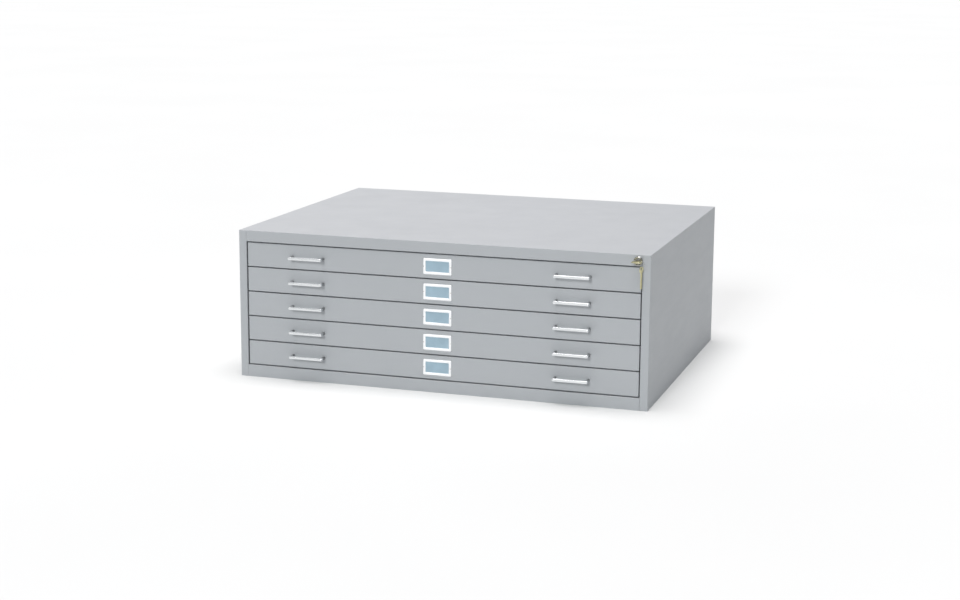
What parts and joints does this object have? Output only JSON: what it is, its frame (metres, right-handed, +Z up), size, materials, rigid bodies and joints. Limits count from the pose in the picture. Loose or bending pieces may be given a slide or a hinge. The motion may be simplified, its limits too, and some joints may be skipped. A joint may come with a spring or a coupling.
{
  "type": "flat file cabinet",
  "caption": "Low wide steel cabinet of shallow roller drawers for flat storage of large paper sheets, with bow handles, label holders and a cylinder lock.",
  "frame": {"origin": "centre of the cabinet's underside", "axes": "+X to the right seen from the drawer side, +Y to the back, +Z up"},
  "size_m": [1.178, 0.9266, 0.4191],
  "materials": {
    "case_enamel": "light grey baked enamel, semi-gloss",
    "drawer_enamel": "light grey baked enamel, semi-gloss",
    "galvanised_steel": "zinc plated",
    "zinc_steel": "bright zinc plated",
    "polished_aluminium": "bright polished",
    "lock_chrome": "bright plated",
    "key_brass": "lightly worn brass",
    "label_paper": "blank pale blue-grey card",
    "roller_nylon": "natural nylon"
  },
  "bodies": {
    "case": {"top_panel": "case_enamel", "left_side_panel": "case_enamel", "right_side_panel": "case_enamel", "back_panel": "case_enamel", "bottom_panel": "case_enamel", "bottom_rail": "case_enamel", "uprights": "galvanised_steel", "guide_rails": "galvanised_steel", "lock_housing": "lock_chrome"},
    "key_and_plug": {"lock_plug": "lock_chrome", "lock_cam": "galvanised_steel", "key": "key_brass"},
    "lock_bar": {"lock_bar": "galvanised_steel"},
    "key_ring": {"key_ring": "lock_chrome"},
    "spare_key": {"spare_key": "key_brass"},
    "drawer_1": {"tray_1": "drawer_enamel", "front_1": "drawer_enamel", "handles_1": "polished_aluminium", "label_holder_1": "polished_aluminium", "label_card_1": "label_paper", "fixings_1": "zinc_steel"},
    "depressor_1": {"depressor_1": "drawer_enamel"},
    "rear_rollers_1": {"rear_rollers_1": "roller_nylon"},
    "front_rollers_1": {"front_rollers_1": "roller_nylon"},
    "drawer_2": {"tray_2": "drawer_enamel", "front_2": "drawer_enamel", "handles_2": "polished_aluminium", "label_holder_2": "polished_aluminium", "label_card_2": "label_paper", "fixings_2": "zinc_steel"},
    "depressor_2": {"depressor_2": "drawer_enamel"},
    "rear_rollers_2": {"rear_rollers_2": "roller_nylon"},
    "front_rollers_2": {"front_rollers_2": "roller_nylon"},
    "drawer_3": {"tray_3": "drawer_enamel", "front_3": "drawer_enamel", "handles_3": "polished_aluminium", "label_holder_3": "polished_aluminium", "label_card_3": "label_paper", "fixings_3": "zinc_steel"},
    "depressor_3": {"depressor_3": "drawer_enamel"},
    "rear_rollers_3": {"rear_rollers_3": "roller_nylon"},
    "front_rollers_3": {"front_rollers_3": "roller_nylon"},
    "drawer_4": {"tray_4": "drawer_enamel", "front_4": "drawer_enamel", "handles_4": "polished_aluminium", "label_holder_4": "polished_aluminium", "label_card_4": "label_paper", "fixings_4": "zinc_steel"},
    "depressor_4": {"depressor_4": "drawer_enamel"},
    "rear_rollers_4": {"rear_rollers_4": "roller_nylon"},
    "front_rollers_4": {"front_rollers_4": "roller_nylon"},
    "drawer_5": {"tray_5": "drawer_enamel", "front_5": "drawer_enamel", "handles_5": "polished_aluminium", "label_holder_5": "polished_aluminium", "label_card_5": "label_paper", "fixings_5": "zinc_steel"},
    "depressor_5": {"depressor_5": "drawer_enamel"},
    "rear_rollers_5": {"rear_rollers_5": "roller_nylon"},
    "front_rollers_5": {"front_rollers_5": "roller_nylon"}
  },
  "joints": [
    {"name": "drawer_1_slide", "type": "slide", "parent": "case", "child": "drawer_1", "axis": [0, -1, 0], "range_m": [0, 0.62]},
    {"name": "depressor_1_hinge", "type": "hinge", "parent": "drawer_1", "child": "depressor_1", "pos_m": [0, -0.421, 0.36574], "axis": [1, 0, 0], "range_deg": [0, 54]},
    {"name": "rear_rollers_1_spin", "type": "hinge", "parent": "drawer_1", "child": "rear_rollers_1", "pos_m": [0, 0.38, 0.34774], "axis": [1, 0, 0], "continuous": true},
    {"name": "front_rollers_1_spin", "type": "hinge", "parent": "case", "child": "front_rollers_1", "pos_m": [0, -0.405, 0.35034], "axis": [1, 0, 0], "continuous": true},
    {"name": "drawer_2_slide", "type": "slide", "parent": "case", "child": "drawer_2", "axis": [0, -1, 0], "range_m": [0, 0.62]},
    {"name": "depressor_2_hinge", "type": "hinge", "parent": "drawer_2", "child": "depressor_2", "pos_m": [0, -0.421, 0.29548], "axis": [1, 0, 0], "range_deg": [0, 54]},
    {"name": "rear_rollers_2_spin", "type": "hinge", "parent": "drawer_2", "child": "rear_rollers_2", "pos_m": [0, 0.38, 0.27748], "axis": [1, 0, 0], "continuous": true},
    {"name": "front_rollers_2_spin", "type": "hinge", "parent": "case", "child": "front_rollers_2", "pos_m": [0, -0.405, 0.28008], "axis": [1, 0, 0], "continuous": true},
    {"name": "drawer_3_slide", "type": "slide", "parent": "case", "child": "drawer_3", "axis": [0, -1, 0], "range_m": [0, 0.62]},
    {"name": "depressor_3_hinge", "type": "hinge", "parent": "drawer_3", "child": "depressor_3", "pos_m": [0, -0.421, 0.22522], "axis": [1, 0, 0], "range_deg": [0, 54]},
    {"name": "rear_rollers_3_spin", "type": "hinge", "parent": "drawer_3", "child": "rear_rollers_3", "pos_m": [0, 0.38, 0.20722], "axis": [1, 0, 0], "continuous": true},
    {"name": "front_rollers_3_spin", "type": "hinge", "parent": "case", "child": "front_rollers_3", "pos_m": [0, -0.405, 0.20982], "axis": [1, 0, 0], "continuous": true},
    {"name": "drawer_4_slide", "type": "slide", "parent": "case", "child": "drawer_4", "axis": [0, -1, 0], "range_m": [0, 0.62]},
    {"name": "depressor_4_hinge", "type": "hinge", "parent": "drawer_4", "child": "depressor_4", "pos_m": [0, -0.421, 0.15496], "axis": [1, 0, 0], "range_deg": [0, 54]},
    {"name": "rear_rollers_4_spin", "type": "hinge", "parent": "drawer_4", "child": "rear_rollers_4", "pos_m": [0, 0.38, 0.13696], "axis": [1, 0, 0], "continuous": true},
    {"name": "front_rollers_4_spin", "type": "hinge", "parent": "case", "child": "front_rollers_4", "pos_m": [0, -0.405, 0.13956], "axis": [1, 0, 0], "continuous": true},
    {"name": "drawer_5_slide", "type": "slide", "parent": "case", "child": "drawer_5", "axis": [0, -1, 0], "range_m": [0, 0.62]},
    {"name": "depressor_5_hinge", "type": "hinge", "parent": "drawer_5", "child": "depressor_5", "pos_m": [0, -0.421, 0.0847], "axis": [1, 0, 0], "range_deg": [0, 54]},
    {"name": "rear_rollers_5_spin", "type": "hinge", "parent": "drawer_5", "child": "rear_rollers_5", "pos_m": [0, 0.38, 0.0667], "axis": [1, 0, 0], "continuous": true},
    {"name": "front_rollers_5_spin", "type": "hinge", "parent": "case", "child": "front_rollers_5", "pos_m": [0, -0.405, 0.0693], "axis": [1, 0, 0], "continuous": true},
    {"name": "key_turn", "type": "hinge", "parent": "case", "child": "key_and_plug", "pos_m": [0.555, -0.44925, 0.402], "axis": [0, -1, 0], "range_deg": [-90, 0]},
    {"name": "lock_bar_lift", "type": "slide", "parent": "case", "child": "lock_bar", "axis": [0, 0, 1], "range_m": [-0.017, 0]},
    {"name": "key_ring_hang", "type": "hinge", "parent": "key_and_plug", "child": "key_ring", "pos_m": [0.5678, -0.46725, 0.402], "axis": [0, -1, 0], "range_deg": [0, 90]},
    {"name": "spare_key_swing", "type": "hinge", "parent": "key_ring", "child": "spare_key", "pos_m": [0.5678, -0.46725, 0.3881], "axis": [1, 0, 0], "range_deg": [-30, 6]}
  ],
  "couplings": [
    {"joint": "rear_rollers_1_spin", "follows": "drawer_1_slide", "rad_per_m": 111.11},
    {"joint": "front_rollers_1_spin", "follows": "drawer_1_slide", "rad_per_m": 111.11},
    {"joint": "rear_rollers_2_spin", "follows": "drawer_2_slide", "rad_per_m": 111.11},
    {"joint": "front_rollers_2_spin", "follows": "drawer_2_slide", "rad_per_m": 111.11},
    {"joint": "rear_rollers_3_spin", "follows": "drawer_3_slide", "rad_per_m": 111.11},
    {"joint": "front_rollers_3_spin", "follows": "drawer_3_slide", "rad_per_m": 111.11},
    {"joint": "rear_rollers_4_spin", "follows": "drawer_4_slide", "rad_per_m": 111.11},
    {"joint": "front_rollers_4_spin", "follows": "drawer_4_slide", "rad_per_m": 111.11},
    {"joint": "rear_rollers_5_spin", "follows": "drawer_5_slide", "rad_per_m": 111.11},
    {"joint": "front_rollers_5_spin", "follows": "drawer_5_slide", "rad_per_m": 111.11},
    {"joint": "key_turn", "follows": "lock_bar_lift", "rad_per_m": 92.3},
    {"joint": "key_ring_hang", "follows": "lock_bar_lift", "rad_per_m": -92.3}
  ]
}
